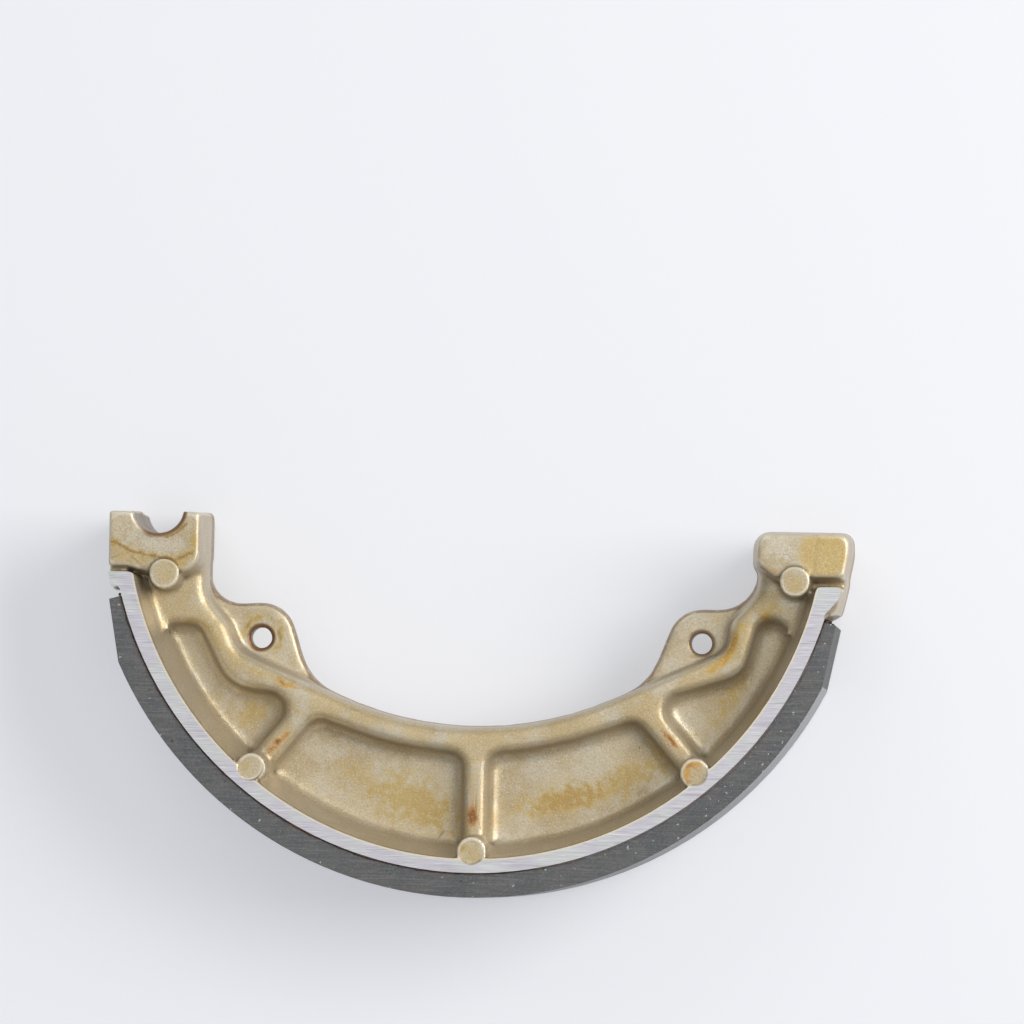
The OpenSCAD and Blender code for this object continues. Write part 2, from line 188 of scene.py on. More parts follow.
def blend_colour(tree, mask, under, over):
    """The colour below where the mask is 0, and the one above where it is 1."""
    made = add_node(tree, "ShaderNodeMix", {"data_type": "RGBA"})
    by_name = {s.identifier: s for s in made.inputs}
    for key, given in (("Factor_Float", mask), ("A_Color", under), ("B_Color", over)):
        if isinstance(given, bpy.types.NodeSocket):
            tree.links.new(given, by_name[key])
        else:
            by_name[key].default_value = given
    return [s for s in made.outputs if s.identifier == "Result_Color"][0]


def coated(tree, under, mask, share, over):
    """A colour with another one over it, at a share of the mask's strength."""
    return blend_colour(tree, calc(tree, "MULTIPLY", mask, share), under, over)


def blend_value(tree, mask, under, over):
    """The same as blend_colour, for plain numbers."""
    made = add_node(tree, "ShaderNodeMix", {"data_type": "FLOAT"})
    for place, given in (("0", mask), ("2", under), ("3", over)):
        feed(tree, made, place, given)
    return made.outputs[0]


def all_of(tree, *masks):
    """The product of several masks."""
    total = masks[0]
    for mask in masks[1:]:
        total = calc(tree, "MULTIPLY", total, mask)
    return total


def cloud(tree, where, size, detail=3.0, roughness=0.55):
    """Soft noise whose blotches are about as large as the size, in millimetres."""
    made = add_node(tree, "ShaderNodeTexNoise", Vector=where, Scale=1.0 / size, Detail=detail,
                    Roughness=roughness)
    return made.outputs["Fac"]


def stretched(tree, where, scale, turn=0.0):
    """The same place, squeezed along each axis, for marks that run one way."""
    made = add_node(tree, "ShaderNodeMapping", Vector=where)
    made.inputs["Rotation"].default_value = (0.0, 0.0, math.radians(turn))
    made.inputs["Scale"].default_value = scale
    return made.outputs["Vector"]


def vector_math(tree, operation, *values):
    """The same as calc, for places and directions."""
    made = add_node(tree, "ShaderNodeVectorMath", {"operation": operation})
    for number, value in enumerate(values):
        feed(tree, made, str(number), value)
    return made.outputs


def from_centre(tree, where, centre):
    """Distance in plan from a centre, whatever the height."""
    flat = vector_math(tree, "MULTIPLY", where, (1.0, 1.0, 0.0))["Vector"]
    return vector_math(tree, "DISTANCE", flat, (centre[0], centre[1], 0.0))["Value"]


def new_group(name, sizes, results):
    """An empty node group that takes a position and some sizes and gives some numbers."""
    group = bpy.data.node_groups.new(name, "ShaderNodeTree")
    group.interface.new_socket("Position", in_out="INPUT", socket_type="NodeSocketVector")
    for label, value in sizes.items():
        size = group.interface.new_socket(label, in_out="INPUT", socket_type="NodeSocketFloat")
        size.default_value = value
    for label in results:
        group.interface.new_socket(label, in_out="OUTPUT", socket_type="NodeSocketFloat")
    entry = group.nodes.new("NodeGroupInput")
    leave = group.nodes.new("NodeGroupOutput")
    return group, entry.outputs, leave.inputs


def use_group(tree, group, **sockets):
    """A node that uses a group, and its results."""
    made = tree.nodes.new("ShaderNodeGroup")
    made.node_tree = group
    for key, value in sockets.items():
        feed(tree, made, key.replace("_", " "), value)
    return made.outputs


def new_material(name):
    """A material with its shader, its places in millimetres and its normals."""
    material = bpy.data.materials.new(name)
    material.use_nodes = True
    tree = material.node_tree
    shader = tree.nodes["Principled BSDF"]
    coords = tree.nodes.new("ShaderNodeTexCoord")
    mapping = add_node(tree, "ShaderNodeMapping", Vector=coords.outputs["Object"])
    mapping.inputs["Scale"].default_value = (1000.0, 1000.0, 1000.0)
    return material, tree, shader, mapping.outputs["Vector"], coords.outputs["Normal"]


def rgb(r, g, b):
    """A colour for a socket, which wants its alpha too."""
    return (r, g, b, 1.0)


print("helpers ready")

# %% [markdown]
# Fine grain. A die casting that has been tumbled, and a moulded lining too, has a skin of
# tiny dimples over slower waves. Both materials use this group, each with its own sizes.

# %% Node group for surface grain
grain_group, g_in, g_out = new_group(
    "Surface grain", {"Grain Size": 0.25, "Wave Size": 2.0, "Wave Share": 0.3}, ("Height", "Fine"))
t = grain_group
fine = add_node(t, "ShaderNodeTexNoise", Vector=g_in["Position"], Detail=2.0, Roughness=0.6,
                Scale=calc(t, "DIVIDE", 1.0, g_in["Grain Size"])).outputs["Fac"]
wave = add_node(t, "ShaderNodeTexNoise", Vector=g_in["Position"], Detail=2.0, Roughness=0.5,
                Scale=calc(t, "DIVIDE", 1.0, g_in["Wave Size"])).outputs["Fac"]
waving = calc(t, "MULTIPLY", wave, g_in["Wave Share"])
t.links.new(calc(t, "ADD", fine, waving), g_out["Height"])
t.links.new(fine, g_out["Fine"])
print("group", grain_group.name)

# %% [markdown]
# Tool marks. The rim's side and the lining's side were cut in one pass, by a cutter that
# left fine, nearly straight strokes along X. The strokes are noise stretched along the cut,
# in two sizes, and the same group marks both pieces so that the strokes run on.

# %% Node group for tool marks
stroke_group, g_in, g_out = new_group("Tool marks", {}, ("Fine", "Deep"))
t = stroke_group
fine = cloud(t, stretched(t, g_in["Position"], (0.16, 5.0, 1.0), -3.0), 1.0, 3.0, 0.7)
coarse = cloud(t, stretched(t, g_in["Position"], (0.10, 1.9, 1.0), -5.0), 1.0, 2.0, 0.6)
t.links.new(fine, g_out["Fine"])
t.links.new(span(t, coarse, 0.58, 0.72), g_out["Deep"])
print("group", stroke_group.name)

# %% [markdown]
# The casting's shape. Its solid has exact walls but hard joints where pads, blocks and ribs
# meet. In a real die casting every inner corner is filleted, because metal flows badly round
# sharp steel. A voxel remesh makes one skin of the solid, and smoothing rounds its corners.
# The milled faces must stay flat and crisp, so they are first raised by extruding them, and
# the smoothed skin is cut off flat at the right height afterwards, just as a mill does.

# %% Helpers that copy a solid and apply modifiers
def merged_copy(node, name):
    """A new object with a solid's triangles joined to one closed mesh."""
    shape = bmesh.new()
    shape.from_mesh(nodes[node].data)
    bmesh.ops.remove_doubles(shape, verts=shape.verts, dist=0.001 * MM)
    mesh = bpy.data.meshes.new(name)
    shape.to_mesh(mesh)
    shape.free()
    piece = bpy.data.objects.new(name, mesh)
    scene.collection.objects.link(piece)
    return piece


def apply_modifiers(piece):
    """Gives a piece the mesh that its modifiers make."""
    graph = bpy.context.evaluated_depsgraph_get()
    graph.update()
    mesh = bpy.data.meshes.new_from_object(piece.evaluated_get(graph))
    piece.modifiers.clear()
    old = piece.data
    piece.data = mesh
    bpy.data.meshes.remove(old)
    mesh.name = piece.name
    return mesh


# %% Raise the milled faces
RAISED_BY = 0.8
casting = merged_copy("shoe_casting", "cast_shoe")
shape = bmesh.new()
shape.from_mesh(casting.data)
shape.normal_update()
for side in (1, -1):
    top = [f for f in shape.faces if f.normal.z * side > 0.99
           and all(v.co.z * side > (HALF_W - 0.05) * MM for v in f.verts)]
    made = bmesh.ops.extrude_face_region(shape, geom=top)
    raised = [v for v in made["geom"] if isinstance(v, bmesh.types.BMVert)]
    bmesh.ops.translate(shape, verts=raised, vec=(0, 0, side * RAISED_BY * MM))
    bmesh.ops.delete(shape, geom=[f for f in top if f.is_valid], context="FACES_ONLY")
    print("milled side", side, "faces", len(top))

# %% [markdown]
# Behind the lip at the cam end the metal runs down to the lining in a small slanted web.
# A turned cube that overlaps the lip makes it, and the remesh joins the two.

# %% Root of the lip at the cam end
WEB_THICKNESS = 1.2
WEB_WIDTH = 25.6
root_from = round_the_drum(60.5, math.radians(-17.15))
root_to = round_the_drum(62.0, math.radians(-16.1))
along = root_to - root_from
web = bmesh.ops.create_cube(shape, size=1.0)["verts"]
bmesh.ops.scale(shape, verts=web, vec=Vector((along.length, WEB_THICKNESS, WEB_WIDTH)) * MM)
bmesh.ops.translate(shape, verts=web, vec=(0.0, WEB_THICKNESS / 2 * MM, 0.0))
bmesh.ops.rotate(shape, verts=web, matrix=Matrix.Rotation(math.atan2(along.y, along.x), 3, "Z"))
bmesh.ops.translate(shape, verts=web, vec=(root_from + root_to) / 2 * MM)
shape.to_mesh(casting.data)
shape.free()
print("web", round(along.length, 2), "mm long")

# %% One skin by voxel remesh
VOXEL = 0.3
skin = casting.modifiers.new("skin", "REMESH")
skin.mode = "VOXEL"
skin.voxel_size = VOXEL * MM
mesh = apply_modifiers(casting)
print("remeshed casting", len(mesh.vertices), "points")


# %% Where the skin is soft
# A cut place: x, y, how far it reaches, above which height, and how soft it stays.
ANY_HEIGHT = -100.0
CUT_PLACES = [(x, y, PAD_R + 0.7, 12.6, 0.12) for x, y in PADS]
CUT_PLACES += [(x, y, HOLE_R + 0.85, ANY_HEIGHT, 0.35) for x, y in SPRING_HOLES]
CUT_PLACES += [(0.0, 0.0, NOTCH_R + 1.3, ANY_HEIGHT, 0.1)]
RIM_KEPT_FROM = 60.2
BAND_KEPT_FROM = 57.2


def softness(p):
    """How far smoothing may round the skin here: fully on cast faces, little at cut ones."""
    x, y, z = p / MM
    from_axis = math.hypot(x - DRUM_AXIS.x, y - DRUM_AXIS.y)
    angle = math.atan2(y - DRUM_AXIS.y, x - DRUM_AXIS.x)
    beside_lining = LINING_FROM - 0.012 < angle < LINING_TO + 0.004
    if from_axis > RIM_KEPT_FROM and beside_lining:
        return 0.0
    soft = 1.0
    if from_axis > BAND_KEPT_FROM:
        soft = min(1.0, max(0.0, (13.6 - abs(z)) / 1.2))
        if from_axis > RIM_R and not beside_lining:
            soft = max(soft, 0.3)
    for cut_x, cut_y, reach, above, most in CUT_PLACES:
        if z > above and math.hypot(x - cut_x, y - cut_y) < reach:
            soft = min(soft, most)
    return soft


def weight_group(piece, name, weights):
    """A vertex group from one weight for each point, set in steps of a tenth."""
    group = piece.vertex_groups.new(name=name)
    steps = {}
    for index, weight in enumerate(weights):
        steps.setdefault(round(weight, 1), []).append(index)
    for weight, members in steps.items():
        group.add(members, weight, "REPLACE")
    return {w: len(m) for w, m in sorted(steps.items())}


def smoothed(piece, group, passes):
    """The piece's mesh, smoothed wherever a vertex group has weight."""
    smoothing = piece.modifiers.new(group, "SMOOTH")
    smoothing.factor = 0.5
    smoothing.iterations = passes
    smoothing.vertex_group = group
    return apply_modifiers(piece)


print("soft", weight_group(casting, "soft", [softness(v.co) for v in mesh.vertices]))

# %% Round the cast corners
mesh = smoothed(casting, "soft", 16)
print("rounded casting", len(mesh.vertices), "points")

# %% [markdown]
# The finish paints shade darker into corners and paints highlights lighter onto edges, so it
# has to know how sharply the skin bends. Blender's Pointiness depends on how fine the mesh is,
# and this mesh is thinned later. So the bend is measured here, while all points are equally
# far apart, and kept for the finished mesh. A ball of radius r falls away by d * d / (2 * r) at
# distance d.

# %% Measure how sharply the skin bends
def bends_of(mesh, passes):
    """Bend of the skin at each point, one over its radius in mm: above 0 in a hollow."""
    count = len(mesh.vertices)
    places = np.empty(count * 3)
    mesh.vertices.foreach_get("co", places)
    places = places.reshape(-1, 3) / MM
    normals = np.empty(count * 3)
    mesh.vertex_normals.foreach_get("vector", normals)
    normals = normals.reshape(-1, 3)
    ends = np.empty(len(mesh.edges) * 2, dtype=np.int32)
    mesh.edges.foreach_get("vertices", ends)
    near, far = ends.reshape(-1, 2).T
    step = places[far] - places[near]
    rise = (np.bincount(near, (step * normals[near]).sum(1), count)
            - np.bincount(far, (step * normals[far]).sum(1), count))
    squared = (step ** 2).sum(1)
    squares = np.bincount(near, squared, count) + np.bincount(far, squared, count)
    bend = 2.0 * rise / np.maximum(squares, 1e-9)
    links = np.bincount(near, minlength=count) + np.bincount(far, minlength=count)
    links = np.maximum(links, 1)
    for _ in range(passes):
        around = np.bincount(near, bend[far], count) + np.bincount(far, bend[near], count)
        bend = 0.5 * bend + 0.5 * around / links
    return bend


def tree_of_points(mesh):
    """The mesh's points, sorted so that those near a place are found quickly."""
    points = KDTree(len(mesh.vertices))
    for v in mesh.vertices:
        points.insert(v.co, v.index)
    points.balance()
    return points


# %% [markdown]
# The fillets at the foot of each wall are wider than those on its edge, because the metal
# has to flow round them. A second smoothing works on the hollows alone.

# %% Wider fillets at the feet of the walls
FEET_BELOW = 6.5
hollow = np.clip((bends_of(mesh, 4) - 0.10) / 0.30, 0.0, 1.0)
feet = [float(h) * (softness(v.co) > 0.9) * (abs(v.co.z) < FEET_BELOW * MM)
        for h, v in zip(hollow, mesh.vertices)]
print("foot", weight_group(casting, "foot", feet))
mesh = smoothed(casting, "foot", 26)
even_points = tree_of_points(mesh)
even_bends = bends_of(mesh, 5)
print("bends", [round(float(b), 2) for b in np.percentile(even_bends, (1, 5, 20, 50, 80, 95, 99))])

# %% [markdown]
# Stains and spots. Each sits at a known place, so it is written down in a table: ochre film
# where brake fluid dried, orange and brown rust from steel dust, dark dirt, gold lacquer-like
# film on the cam block and pale spots that were rubbed clean. They could be a long chain of
# shader nodes, but that would be worked out again for each ray. It is quicker to paint them
# once on the points of the mesh, as colour attributes, and to let fine noise in the material
# make their edges crisp again. A row says where a stain's middle is, on which level it lies,
# half its length and width, its turn in degrees, how ragged it is and how strong. A level is
# a height and half the depth that the stain reaches there.

# %% Tables of stains, in millimetres
BLOCK, PAD, POCKET = (13.6, 0.8), (13.85, 0.6), (2.5, 1.6)
RIDGE, EAR = (7, 2.5), (2.3, 2.5)
STAINS = {
    "ochre": [
        (1.4, -11.3, (13.85, 0.5), 1.9, 1.7, 20, 0.8, 0.5),
        (106.6, -11.1, (13.85, 0.5), 1.8, 1.3, -30, 0.8, 0.5),
        (15.4, -42.9, (13.85, 0.5), 1.7, 1.3, 30, 0.8, 0.45),
        (53.6, -56.8, (13.85, 0.5), 1.8, 1.4, 10, 0.8, 0.55),
        (-7.32, -5.94, BLOCK, 1.3, 0.7, -14, 0.9, 0.9),
        (-5.56, -6.68, BLOCK, 1.5, 0.6, -32, 0.9, 0.9),
        (-3.39, -7.5, BLOCK, 1.8, 0.6, -13, 0.9, 0.9),
        (-0.71, -8.04, BLOCK, 1.9, 0.55, -12, 0.9, 0.9),
        (1.96, -8.47, BLOCK, 1.7, 0.6, -8, 0.9, 0.9),
        (4.41, -8.02, BLOCK, 1.8, 0.7, 26, 0.9, 0.9),
        (3.64, -9.37, BLOCK, 1.5, 0.92, 10, 0.9, 0.85),
        (-4.45, -8.34, BLOCK, 3.66, 1.2, -12, 1.3, 0.6),
        (5.98, -5.5, BLOCK, 2.6, 0.7, 88, 0.8, 0.8),
        (2.14, -4.57, BLOCK, 1.34, 0.3, 23, 0.7, 0.9),
        (3.87, -3.41, BLOCK, 1.28, 0.3, 43, 0.7, 0.9),
        (2.74, -19.55, RIDGE, 1.75, 0.53, 28, 0.9, 0.6),
        (5.39, -18.67, RIDGE, 1.77, 0.53, 7, 0.9, 0.6),
        (7.91, -19.54, RIDGE, 1.9, 0.53, -45, 0.9, 0.6),
        (9.8, -22.02, RIDGE, 1.98, 0.53, -62, 0.9, 0.6),
        (11.5, -23.74, RIDGE, 3.58, 0.53, -44, 1, 0.5),
        (16.56, -26.99, RIDGE, 3.97, 0.53, -25, 1, 0.5),
        (22.45, -29.06, RIDGE, 3.76, 0.53, -16, 1, 0.5),
        (17.51, -44.58, PAD, 0.67, 0.27, 40, 0.8, 0.8),
        (15.4, -33.63, POCKET, 3, 2.16, 40, 0.9, 0.75),
        (42.61, -47.89, POCKET, 8.8, 3.9, -18, 0.9, 0.75),
        (46.16, -49.84, POCKET, 3.4, 2.8, 0, 1, 0.85),
        (33.66, -43.86, POCKET, 4.33, 2.33, -25, 1, 0.5),
        (68.56, -47.27, POCKET, 7.4, 2.1, 13, 0.8, 1),
        (78.04, -43.59, POCKET, 4.8, 2.3, 30, 1, 0.8),
        (83.04, -41.32, (2.8, 2), 2.6, 2.2, 60, 1.2, 0.75),
        (57.23, -50.98, POCKET, 2.6, 2.0, 0, 1, 0.45),
        (51.82, -55.72, PAD, 0.83, 0.5, 20, 1, 0.9),
        (51.77, -57.8, PAD, 0.42, 0.67, 0, 0.8, 0.7),
        (14.13, -19.49, EAR, 1.5, 0.6, 65, 0.8, 0.9),
        (15.69, -18.04, EAR, 1.5, 0.6, 17, 0.8, 0.9),
        (19.83, -20.14, EAR, 1.7, 0.55, -83, 0.8, 0.85),
        (19.46, -22.5, EAR, 1.5, 0.55, -120, 0.8, 0.8),
        (89, -19.61, EAR, 0.43, 1, 20, 0.9, 0.6),
        (92.8, -16.53, EAR, 1.66, 0.83, 10, 1, 0.4),
        (101.81, -15.31, RIDGE, 2, 1.5, 10, 0.9, 0.75),
        (88.41, -27.41, RIDGE, 2.86, 0.53, -154, 1, 0.4),
        (84.27, -29.49, RIDGE, 2.86, 0.53, -154, 1, 0.4),
        (95.88, -29.37, POCKET, 3.66, 1.5, 52, 1, 0.75),
        (93.11, -33.94, POCKET, 2.33, 1.16, 48, 1, 0.45),
        (99.86, -5.68, (13.3, 1), 0.4, 1.5, 15, 1, 0.6),
        (105.98, -12, PAD, 0.83, 0.37, 10, 0.9, 0.6),
    ],
    "orange": [
        (-7.32, -6.15, BLOCK, 1.08, 0.5, -8, 0.9, 0.75),
        (21.12, -28.67, RIDGE, 1.66, 0.5, -22, 1.1, 1),
        (20.97, -37.77, (6.5, 2.5), 1.33, 0.4, 42, 1, 0.8),
        (15.18, -22.4, EAR, 0.58, 1, 30, 0.9, 0.75),
        (18.49, -20.17, EAR, 0.43, 1, -15, 0.9, 0.6),
        (88.98, -23.13, EAR, 0.5, 0.27, -30, 0.8, 0.7),
        (86.28, -17.97, (2, 2.5), 0.6, 0.27, 50, 0.8, 0.6),
        (96.19, -20.4, (6, 2.5), 1.7, 0.45, -106, 0.8, 1),
        (95.14, -22.68, (6, 2.5), 1.8, 0.45, -125, 0.8, 1),
        (93.58, -24.42, (6, 2.5), 1.5, 0.42, -143, 0.8, 0.9),
        (101.32, -16.57, (6.6, 2.5), 1.33, 0.43, 0, 0.9, 0.7),
        (86.83, -38.46, (6.6, 2.5), 1.33, 0.43, -46, 1, 0.7),
        (89.93, -41.19, PAD, 1.41, 0.53, 8, 0.7, 1),
        (88.87, -42.51, PAD, 0.57, 1.33, 0, 0.7, 1),
        (101.31, -30.6, (11.5, 3), 2.82, 0.37, -118, 1.2, 0.6),
        (99.53, -33.8, (11.5, 3), 1.72, 0.37, -123, 1.2, 0.6),
        (114.75, -6.93, (13.6, 0.9), 1.5, 0.37, 88, 0.8, 1),
        (102.09, -9.23, (13.6, 0.9), 1.08, 0.67, 25, 1, 0.85),
    ],
    "dark": [
        (7.35, -5.42, (0, 6), 0.27, 0.33, 0, 0.6, 0.5),
        (47.4, -53.45, POCKET, 1.5, 0.4, 56, 0.9, 0.6),
        (48.53, -51.3, POCKET, 0.6, 0.3, 30, 0.7, 0.5),
        (80.6, -46.05, (2.6, 1.6), 1.9, 0.4, 49, 1.2, 0.45),
        (82.56, -43.34, (2.6, 1.6), 2.23, 0.4, 56, 1.2, 0.5),
        (53.3, -54.74, PAD, 0.75, 0.2, 0, 0.6, 0.55),
        (99.86, -7.57, (12.5, 1.5), 0.6, 0.37, -50, 0.8, 0.9),
    ],
    "rust": [
        (20.52, -28.59, RIDGE, 0.58, 0.27, -22, 0.9, 0.7),
        (20.28, -38.44, (6, 2.5), 1.83, 0.53, 42, 1, 0.9),
        (52.79, -50.43, RIDGE, 1.36, 0.77, 90, 0.5, 1),
        (15.69, -22.81, EAR, 0.83, 0.37, -25, 0.8, 0.6),
        (85.81, -37.31, (6.6, 2.5), 1.5, 0.33, -46, 1, 0.9),
        (89.35, -41.42, PAD, 0.75, 0.37, 30, 0.7, 0.6),
        (88.98, -44, PAD, 0.5, 0.33, -40, 0.7, 0.5),
        (101.22, -8.64, (12.8, 1.2), 0.83, 0.37, -35, 1, 0.7),
    ],
    "pale": [
        (57.04, -39.6, POCKET, 2.33, 3.33, 0, 0.8, 0.5),
        (67.08, -39.42, POCKET, 6.66, 2, 12, 0.8, 0.4),
        (26.89, -39.45, POCKET, 4.99, 2.33, -30, 0.8, 0.35),
        (87.73, -32.36, POCKET, 2, 1.33, 30, 0.8, 0.4),
        (103.35, -4.97, BLOCK, 2.66, 2.33, 0, 0.6, 0.6),
        (-1.17, -5.46, BLOCK, 5.99, 2.33, -12, 0.8, 0.5),
        (2.5, -6.39, BLOCK, 2.66, 1.33, 10, 0.8, 0.5),
    ],
    "gold": [
        (96.98, -18.55, (6.6, 2.5), 1.9, 0.8, -124, 0.7, 1),
        (95.88, -21.01, (6.6, 2.5), 1.7, 0.8, -105, 0.7, 1),
        (94.84, -23.2, (6.6, 2.5), 1.6, 0.8, -129, 0.7, 1),
        (93.03, -24.77, (6.6, 2.5), 1.7, 0.8, -150, 0.7, 1),
        (111.0, -5.6, (13.6, 0.9), 3.75, 4.4, 0, 0.12, 1),
        (109.5, -9.19, BLOCK, 0.5, 0.53, 0, 0.8, 0.8),
    ],
    "seep": [
        (-7.32, -5.94, BLOCK, 1.2, 0.30, -14, 0.8, 1),
        (-5.56, -6.68, BLOCK, 1.4, 0.28, -32, 0.8, 1),
        (-3.39, -7.5, BLOCK, 1.7, 0.28, -13, 0.8, 0.9),
        (-0.71, -8.04, BLOCK, 1.9, 0.26, -12, 0.8, 0.9),
        (1.96, -8.47, BLOCK, 1.7, 0.26, -8, 0.8, 0.9),
        (4.41, -8.02, BLOCK, 1.7, 0.28, 26, 0.8, 0.9),
        (-3.9, -8.6, BLOCK, 1.6, 0.25, -38, 0.8, 0.6),
        (-6.8, -8.2, BLOCK, 1.3, 0.25, 25, 0.8, 0.6),
        (2.14, -4.57, BLOCK, 1.3, 0.26, 23, 0.6, 0.9),
        (3.87, -3.41, BLOCK, 1.3, 0.26, 43, 0.6, 0.9),
        (-1.6, -4.7, BLOCK, 1.5, 0.24, -20, 0.6, 0.7),
        (19.6, -20.6, EAR, 1.3, 0.3, -75, 0.7, 0.7),
        (14.5, -19.0, EAR, 1.1, 0.3, 60, 0.7, 0.7),
    ],
}
print({kind: len(rows) for kind, rows in STAINS.items()})

# %% [markdown]
# A film that follows the metal is painted only as deep as its row says. Raggedness moves
# the place that is looked up by smooth noise, so no stain keeps a drawn ellipse's edge. The
# noise has a fixed seed, so each run paints the same stains.

# %% Helpers that paint the tables on a mesh
noise.seed_set(11)


def stained_points(points, row):
    """Each point near a stain with how strong the stain is there."""
    x, y, (z, c), a, b, turn, ragged, strength = row
    centre = Vector((x, y, z)) * MM
    back = Matrix.Rotation(-math.radians(turn), 3, "Z")
    reach = max(a, b, c) * 2.0 + 0.8
    for co, index, _ in points.find_range(centre, reach * MM):
        local = back @ ((co - centre) / MM)
        drift = noise.noise_vector(co / MM * 0.95) + 0.5 * noise.noise_vector(co / MM * 2.6)
        local = Vector((local.x / a, local.y / b, local.z / c)) + drift * ragged * 0.9
        amount = min(1.0, max(0.0, (1.45 - local.length) / 0.9))
        if amount > 0.0:
            yield index, amount * strength


def paint(mesh, tables):
    """One list of strengths for each kind of stain."""
    points = tree_of_points(mesh)
    layers = {}
    for kind, rows in tables.items():
        layer = [0.0] * len(mesh.vertices)
        for row in rows:
            for index, amount in stained_points(points, row):
                layer[index] = max(layer[index], amount)
        layers[kind] = layer
    return layers


layers = paint(mesh, STAINS)
stained = [max(layer[i] for layer in layers.values()) for i in range(len(mesh.vertices))]
print("stained points", sum(1 for s in stained if s > 0.05), "of", len(stained))

# %% [markdown]
# The skin has far more points than its flat places need. Decimate takes them away, guided
# by a vertex group that keeps the mesh fine wherever a stain is painted.

# %% Thin the mesh, except where it is stained
SKIN_TRIANGLES = 172000
print("keep", weight_group(casting, "keep", [1.0 if s > 0.03 else 0.0 for s in stained]))
thinning = casting.modifiers.new("thinning", "DECIMATE")
thinning.vertex_group = "keep"
thinning.invert_vertex_group = True
thinning.vertex_group_factor = 4.0
thinning.ratio = min(1.0, SKIN_TRIANGLES / (2 * len(mesh.vertices)))
mesh = apply_modifiers(casting)
print("thinned casting", len(mesh.polygons), "faces")

# %% [markdown]
# No cast face is quite flat. Slow noise sinks the skin by a few hundredths of a millimetre,
# always inwards, so the shoe doesn't outgrow its solid. Thinning can leave a small fold, so
# points whose faces disagree are smoothed first.

# %% Let the cast skin wave a little
def waviness(p):
    """How far the skin moves out here, in millimetres; it is nearly always below zero."""
    slow = noise.noise(p / MM * 0.22)
    quick = noise.noise(p / MM * 0.75 + Vector((7.0, 3.0, 1.0)))
    return -0.05 - 0.045 * slow - 0.03 * quick


shape = bmesh.new()
shape.from_mesh(mesh)
shape.normal_update()
for _ in range(4):
    folded = [v for v in shape.verts if softness(v.co) > 0.5
              and any(f.normal.dot(v.normal) < 0.45 for f in v.link_faces)]
    bmesh.ops.smooth_vert(shape, verts=folded, factor=0.5,
                          use_axis_x=True, use_axis_y=True, use_axis_z=True)
    shape.normal_update()
    print("folded points", len(folded))
for v in shape.verts:
    share = softness(v.co)
    if share > 0.5:
        v.co += v.normal * min(0.0, waviness(v.co)) * share * MM
print("waved", len(shape.verts), "points")


# %% Mill the two sides flat
def mill(shape, height, side):
    """Cuts off what stands above the height and closes the cut with flat faces."""
    cut = bmesh.ops.bisect_plane(
        shape, geom=shape.verts[:] + shape.edges[:] + shape.faces[:], dist=0.0005 * MM,
        plane_co=(0, 0, side * height), plane_no=(0, 0, side), clear_outer=True)
    rim = [e for e in cut["geom_cut"] if isinstance(e, bmesh.types.BMEdge)]
    open_rim = [e for e in rim if e.is_boundary]
    filled = bmesh.ops.triangle_fill(shape, edges=open_rim, use_beauty=True,
                                     normal=(0, 0, side))["geom"]
    faces = [f for f in filled if isinstance(f, bmesh.types.BMFace)]
    for f in faces:
        f.smooth = False
        if f.normal.z * side < 0:
            f.normal_flip()
    for e in open_rim:
        e.smooth = False
    return faces


for f in shape.faces:
    f.smooth = True
for side in (1, -1):
    flat = mill(shape, HALF_W * MM, side)
    print("milled", side, len(flat), "faces")
loose = [e for e in shape.edges if not e.is_manifold]
shape.to_mesh(mesh)
shape.free()
print("casting", len(mesh.polygons), "faces, open edges", len(loose))

# %% Write the stains and bends on the finished mesh
layers = paint(mesh, STAINS)
bends = [even_bends[even_points.find(v.co)[1]] for v in mesh.vertices]
# Convex bends later feed a painted highlight on edges, and hollow bends painted shade in corners.
layers["edge_highlight"] = [max(0.0, -b) for b in bends]
layers["hollow"] = [max(0.0, b) for b in bends]
for name, kinds in (("film", ("ochre", "gold", "pale")), ("spots", ("orange", "rust", "dark")),
                    ("bends", ("edge_highlight", "hollow", "seep"))):
    colours = mesh.color_attributes.new(name, "FLOAT_COLOR", "POINT")
    rows = zip(*(layers[kind] for kind in kinds))
    colours.data.foreach_set("color", [c for row in rows for c in (*row, 1.0)])
    print(name, kinds)

# %% [markdown]
# The casting's finish has three parts: the cast skin, a champagne tone with a satin grain and
# its films and stains, with its steep faces painted darker and greyer as painted shade; the
# milled bands, bright lilac-grey with straight tool marks; and the crevices, painted dark as
# painted shade. Masks in object coordinates choose between them.

# %% Helpers for the casting's masks
def painted(tree, name):
    """The three strengths of a painted colour attribute."""
    given = add_node(tree, "ShaderNodeAttribute",
                     {"attribute_type": "GEOMETRY", "attribute_name": name})
    return add_node(tree, "ShaderNodeSeparateColor", Color=given.outputs["Color"]).outputs


def ragged(tree, strength, mottle, low, high, bite):
    """A painted strength with a crisp edge that fine noise bites into."""
    shift = calc(tree, "MULTIPLY", calc(tree, "SUBTRACT", mottle, 0.5), bite)
    return span(tree, calc(tree, "ADD", strength, shift), low, high)


def strongest(tree, *masks_and_shares):
    """The largest of several masks, each at a share of its strength."""
    scaled = [calc(tree, "MULTIPLY", mask, share) for mask, share in masks_and_shares]
    most = scaled[0]
    for one in scaled[1:]:
        most = calc(tree, "MAXIMUM", most, one)
    return most


def nearest(tree, where, places):
    """Distance in plan to the nearest of several places."""
    reach = from_centre(tree, where, places[0])
    for place in places[1:]:
        reach = calc(tree, "MINIMUM", reach, from_centre(tree, where, place))
    return reach


